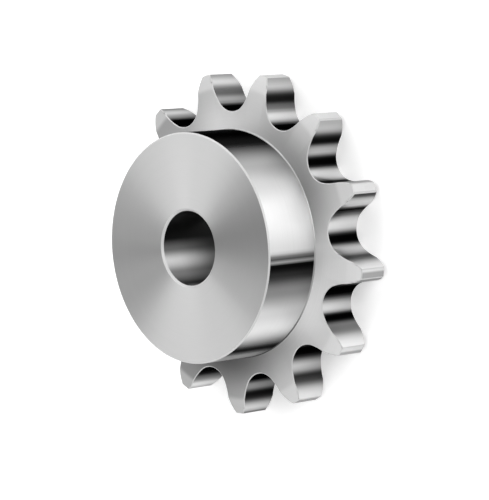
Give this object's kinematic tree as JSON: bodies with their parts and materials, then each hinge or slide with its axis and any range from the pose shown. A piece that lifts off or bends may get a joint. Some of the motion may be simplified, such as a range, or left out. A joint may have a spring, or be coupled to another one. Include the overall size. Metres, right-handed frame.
{
  "type": "chain sprocket",
  "caption": "Flat toothed wheel for a roller chain, with a round hub on one side and a plain bore.",
  "frame": {"origin": "on the bore axis, halfway through the thickness of the teeth, where the middle of the chain runs", "axes": "+Z along the bore axis, out of the hub's nose; +X through the middle of one tooth"},
  "size_m": [0.1462, 0.1472, 0.0445],
  "materials": {
    "turned_steel": "bright machined steel, with faint lathe rings on the flat faces"
  },
  "bodies": {
    "root": {"sprocket": "turned_steel"}
  },
  "joints": []
}
